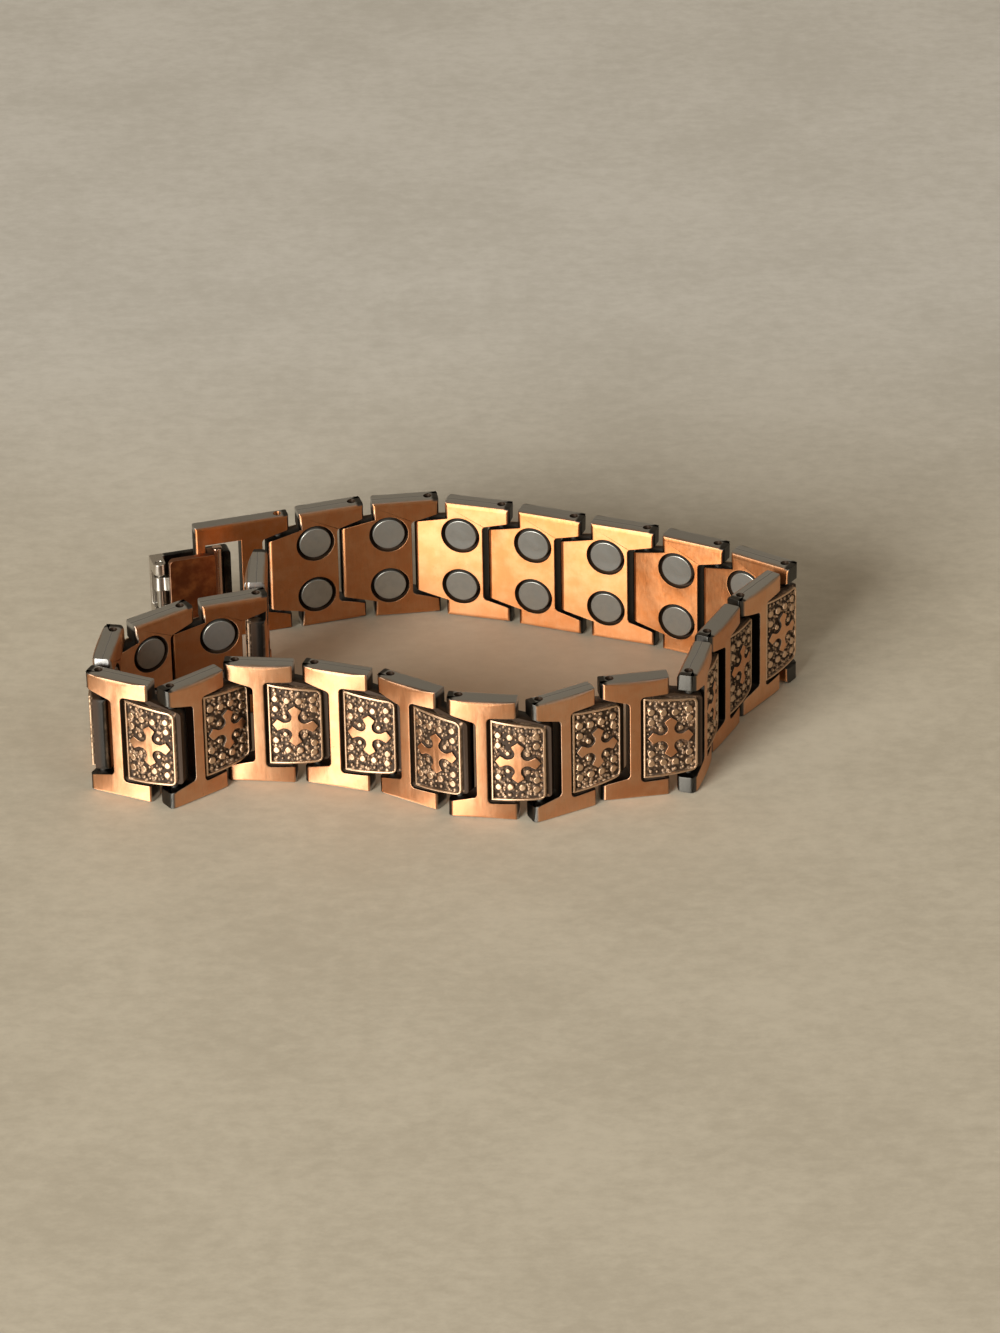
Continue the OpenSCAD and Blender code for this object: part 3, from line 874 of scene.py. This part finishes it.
dotSetup = {
    "height": 0.27,
    "segments": 10,
    "rings": 6,
    "halfPattern": [  # share of the panel's half length and half height, and diameter; mirrored below
        (-0.80, 0.91, 0.50), (-0.31, 0.91, 0.50), (0.17, 0.91, 0.50), (0.50, 0.90, 0.36),
        (-0.56, 0.92, 0.34), (-0.07, 0.93, 0.32), (0.42, 0.76, 0.34), (-0.55, 0.78, 0.30),
        (-0.06, 0.79, 0.34), (-0.07, 0.62, 0.30), (-0.55, 0.58, 0.36), (0.46, 0.60, 0.38),
        (-0.56, 0.40, 0.30), (0.50, 0.43, 0.30), (-0.33, 0.52, 0.32), (0.28, 0.54, 0.32),
        (-0.84, 0.23, 0.36), (0.86, 0.25, 0.36), (0.90, 0.63, 0.30), (0.55, 0.32, 0.30),
        (-0.60, 0.27, 0.28), (-0.92, 0.56, 0.26), (0.93, 0.38, 0.26), (-0.90, 0.10, 0.26),
    ],
}


def finishTree(tree, start, end, instances):  # every tree ends in real, painted geometry
    real = addNode(tree, "GeometryNodeRealizeInstances")
    feed(tree, real.inputs[0], instances)
    paint = addNode(tree, "GeometryNodeSetMaterial")
    feed(tree, paint.inputs["Geometry"], real.outputs[0])
    feed(tree, paint.inputs["Material"], start.outputs["Material"])
    feed(tree, end.inputs["Geometry"], paint.outputs[0])


def namedNumber(tree, name):
    node = addNode(tree, "GeometryNodeInputNamedAttribute", data_type="FLOAT")
    node.inputs["Name"].default_value = name
    return node.outputs["Attribute"]


def dotTree():
    tree, start, end = groupTree(
        "dotField",
        [
            ("Points", "NodeSocketGeometry", None), ("Height", "NodeSocketFloat", 0.2),
            ("Material", "NodeSocketMaterial", None),
        ],
        [("Geometry", "NodeSocketGeometry")],
        "GeometryNodeTree",
    )
    ball = addNode(tree, "GeometryNodeMeshUVSphere")
    ball.inputs["Segments"].default_value = dotSetup["segments"]
    ball.inputs["Rings"].default_value = dotSetup["rings"]
    ball.inputs["Radius"].default_value = 0.5
    width = namedNumber(tree, "width")
    size = addNode(tree, "ShaderNodeCombineXYZ")
    feed(tree, size.inputs[0], width)
    feed(tree, size.inputs[1], mathNode(tree, "MULTIPLY", start.outputs["Height"], 2.0))
    feed(tree, size.inputs[2], width)
    put = addNode(tree, "GeometryNodeInstanceOnPoints")
    feed(tree, put.inputs["Points"], start.outputs["Points"])
    feed(tree, put.inputs["Instance"], ball.outputs["Mesh"])
    feed(tree, put.inputs["Scale"], size.outputs[0])
    finishTree(tree, start, end, put.outputs[0])
    return tree


def grown(points, tree, values, attributes):  # runs a tree on loose points, gives a plain mesh
    mesh = bpy.data.meshes.new("points")
    mesh.from_pydata(points, [], [])
    for name, numbers in attributes.items():
        mesh.attributes.new(name, "FLOAT", "POINT").data.foreach_set("value", numbers)
    obj = bpy.data.objects.new("points", mesh)
    mod = obj.modifiers.new("grow", "NODES")
    mod.node_group = tree
    for item in tree.interface.items_tree:
        if item.item_type == "SOCKET" and item.in_out == "INPUT" and item.name in values:
            mod[item.identifier] = values[item.name]
    return evaluated(obj)


def dotPoints():
    s = linkSizes
    points, widths = [], []
    for along, up, width in dotSetup["halfPattern"]:
        u = along * (panelReach - s["rim"])
        x = panelMiddle + u
        y = panelRadius - s["outer"] - math.sqrt((panelRadius - s["relief"]) ** 2 - u * u)
        for side in (-1, 1):
            points.append((x, y, s["middle"] + side * up * (panelHalf(x) - s["rim"])))
            widths.append(width)
    return points, widths


def joined(meshes):
    bm = bmesh.new()
    for mesh in meshes:
        bm.from_mesh(mesh)
    result = bpy.data.meshes.new("joined")
    bm.to_mesh(result)
    bm.free()
    return result


def triangles(mesh):
    return sum(len(p.vertices) - 2 for p in mesh.polygons)


places, widths = dotPoints()
dots = grown(places, dotTree(), {"Height": dotSetup["height"], "Material": linkMaterial}, {"width": widths})
dots.shade_smooth()
print("dots made:", len(dots.polygons), "faces")


def masterLink(nodeName, index):
    solid = softened(localCopy(nodeName, pins[index], headings[index]), nodeName, linkEdgeWidth)
    mesh = addFields(joined([solid, dots]))
    mesh.materials.append(linkMaterial)
    print("master", nodeName, len(mesh.polygons), "faces", triangles(mesh), "triangles")
    return bpy.data.objects.new("master_" + nodeName, mesh)


# Rows of links and magnets along the loop


def rowTree():
    tree, start, end = groupTree(
        "bandRow",
        [
            ("Points", "NodeSocketGeometry", None), ("Master", "NodeSocketObject", None),
            ("Seed", "NodeSocketInt", 5), ("Scale", "NodeSocketFloat", mm),
            ("Material", "NodeSocketMaterial", None),
        ],
        [("Geometry", "NodeSocketGeometry")],
        "GeometryNodeTree",
    )
    master = addNode(tree, "GeometryNodeObjectInfo")
    feed(tree, master.inputs["Object"], start.outputs["Master"])
    turn = addNode(tree, "ShaderNodeCombineXYZ")
    feed(tree, turn.inputs[2], namedNumber(tree, "heading"))
    spin = addNode(tree, "FunctionNodeEulerToRotation")
    feed(tree, spin.inputs[0], turn.outputs[0])
    size = addNode(tree, "ShaderNodeCombineXYZ")
    for k in range(3):
        feed(tree, size.inputs[k], start.outputs["Scale"])
    put = addNode(tree, "GeometryNodeInstanceOnPoints")
    feed(tree, put.inputs["Points"], start.outputs["Points"])
    feed(tree, put.inputs["Instance"], master.outputs["Geometry"])
    feed(tree, put.inputs["Rotation"], spin.outputs[0])
    feed(tree, put.inputs["Scale"], size.outputs[0])
    tone = addNode(tree, "FunctionNodeRandomValue", data_type="FLOAT")
    feed(tree, tone.inputs["Seed"], start.outputs["Seed"])
    store = addNode(tree, "GeometryNodeStoreNamedAttribute", data_type="FLOAT", domain="INSTANCE")
    store.inputs["Name"].default_value = "tone"
    feed(tree, store.inputs["Geometry"], put.outputs[0])
    feed(tree, store.inputs["Value"], tone.outputs[1])
    finishTree(tree, start, end, store.outputs[0])
    return tree


bandRow = rowTree()


def piece(name, mesh, body, nodes):
    mesh.name = name
    brushMap(mesh)
    obj = bpy.data.objects.new(name, mesh)
    bpy.context.scene.collection.objects.link(obj)
    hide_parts(*nodes)
    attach(obj, body)
    print("piece", name, triangles(mesh), "triangles")


def row(name, master, numbers, prefix, material, seed):
    points = [pins[n - 1] * mm for n in numbers]
    turns = [math.radians(headings[n - 1]) for n in numbers]
    values = {"Master": master, "Seed": seed, "Scale": mm, "Material": material}
    mesh = grown(points, bandRow, values, {"heading": turns})
    piece(name, mesh, "band", [prefix + "%02d" % n for n in numbers])


bandRows = {  # first and last link, and the seed of the links' tones
    "band_free_end": (1, 1, 3),
    "band_left": (2, 6, 5),
    "band_front": (7, 12, 7),
    "band_right": (13, 17, 9),
    "band_back": (18, 22, 11),
}
magnetSetup = {"first": 1, "last": 22, "edge": 0.1, "seed": 13}

link = masterLink("link_02", 1)
endLink = masterLink("link_01", 0)
for master in (link, endLink):
    bpy.context.scene.collection.objects.link(master)
for name, (first, last, seed) in bandRows.items():
    master = endLink if first == 1 else link
    row(name, master, range(first, last + 1), "link_", linkMaterial, seed)

magnetCopy = localCopy("magnets_02", pins[1], headings[1])
magnetMesh = addFields(softened(magnetCopy, "magnet", lambda point: magnetSetup["edge"]))
magnet = bpy.data.objects.new("master_magnets", magnetMesh)
bpy.context.scene.collection.objects.link(magnet)
numbers = range(magnetSetup["first"], magnetSetup["last"] + 1)
row("magnet_discs", magnet, numbers, "magnets_", magnetMaterial, magnetSetup["seed"])
for master in (link, endLink, magnet):
    bpy.data.objects.remove(master)

# Clasp

claspSetup = {  # mm
    "boreReach": 0.7,
    "boreEdge": 0.04,
    "edge": 0.1,
    "frameCuts": (0.0, 4.5, 8.7),  # along the frame: its bores, and its window's ends
}


def claspEdgeWidth(point):
    nearBore = math.hypot(point.x, point.y) < claspSetup["boreReach"]
    return claspSetup["boreEdge"] if nearBore else claspSetup["edge"]


def claspPiece(name, nodeName, body, material, cuts=()):
    mesh = softened(localCopy(nodeName, pins[-1], frameHeading, cuts), nodeName, claspEdgeWidth)
    addFields(mesh)
    for field in ("sunk", "relief", "cross"):  # these belong to the links alone
        mesh.attributes.remove(mesh.attributes[field])
    mesh.transform(toLocal(pins[-1], frameHeading).inverted())
    mesh.materials.append(material)
    piece(name, mesh, body, [nodeName])


claspPiece("frame_end", "clasp_frame", "band", linkMaterial, claspSetup["frameCuts"])
claspPiece("leaf_inner", "clasp_leaf", "band", leafMaterial)
claspPiece("cover_outer", "clasp_cover", "cover", coverMaterial)

for nodeName, material in (("link_pins", pinMaterial), ("clasp_pin", claspSteelMaterial)):
    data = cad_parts[nodeName].data
    data.materials.clear()
    data.materials.append(material)
print("clasp made")

# Floor

floorSetup = {
    "size": 4.0,  # metres
    "pale": (0.61, 0.55, 0.435),
    "deep": (0.50, 0.445, 0.345),
    "warm": (0.54, 0.43, 0.31),  # inside the loop, painted shade and painted copper light
    # the floor is painted paler further back, painted light
    "farPale": (0.68, 0.65, 0.585),
    "farDeep": (0.57, 0.54, 0.475),
    "roughness": 0.62,
    "clouds": (34, 44, 34),  # to the metre
    "cloudNoise": (1.0, 6.0, 0.65),  # scale, detail, roughness
    "flecks": (420, 620, 420),
    "fleckNoise": (1.0, 5.0, 0.7),
    "mottle": (0.34, 0.66),
    "far": (0.01, 0.11),  # metres behind the origin
    "warmReach": (0.040, 0.026),  # metres from the loop's middle
    "warmStretch": (1.0, 1.7, 1.0),
    "warmShare": 0.5,
}


def floorPaint(s):
    material, tree, shader = principled("paleFloor", Roughness=s["roughness"])
    where = addNode(tree, "ShaderNodeTexCoord").outputs["Object"]
    clouds = noise(tree, stretched(tree, where, s["clouds"]), *s["cloudNoise"])
    flecks = noise(tree, stretched(tree, where, s["flecks"]), *s["fleckNoise"])
    shade = mathNode(tree, "MULTIPLY", mathNode(tree, "ADD", clouds, flecks), 0.5)
    mottle = remap(tree, shade, *s["mottle"])
    axes = addNode(tree, "ShaderNodeSeparateXYZ")
    feed(tree, axes.inputs[0], where)
    metres = addNode(tree, "ShaderNodeVectorMath", operation="LENGTH")
    feed(tree, metres.inputs[0], stretched(tree, where, s["warmStretch"]))
    # the floor inside the loop is painted darker and warmer, painted shade and painted copper light
    warm = mathNode(tree, "MULTIPLY", remap(tree, metres.outputs["Value"], *s["warmReach"]), s["warmShare"])
    near = mixColor(tree, warm, mixColor(tree, mottle, s["deep"], s["pale"]), s["warm"])
    # painted light: the floor turns paler further back
    beyond = mixColor(tree, mottle, s["farDeep"], s["farPale"])
    far = remap(tree, axes.outputs[1], *s["far"])
    feed(tree, shader.inputs["Base Color"], mixColor(tree, far, near, beyond))
    return material


floorMesh = bpy.data.meshes.new("floor")
reach = floorSetup["size"] / 2
corners = [(-reach, -reach, 0), (reach, -reach, 0), (reach, reach, 0), (-reach, reach, 0)]
floorMesh.from_pydata(corners, [], [(0, 1, 2, 3)])
floorMesh.materials.append(floorPaint(floorSetup))
floor = bpy.data.objects.new("floor", floorMesh)
bpy.context.scene.collection.objects.link(floor)
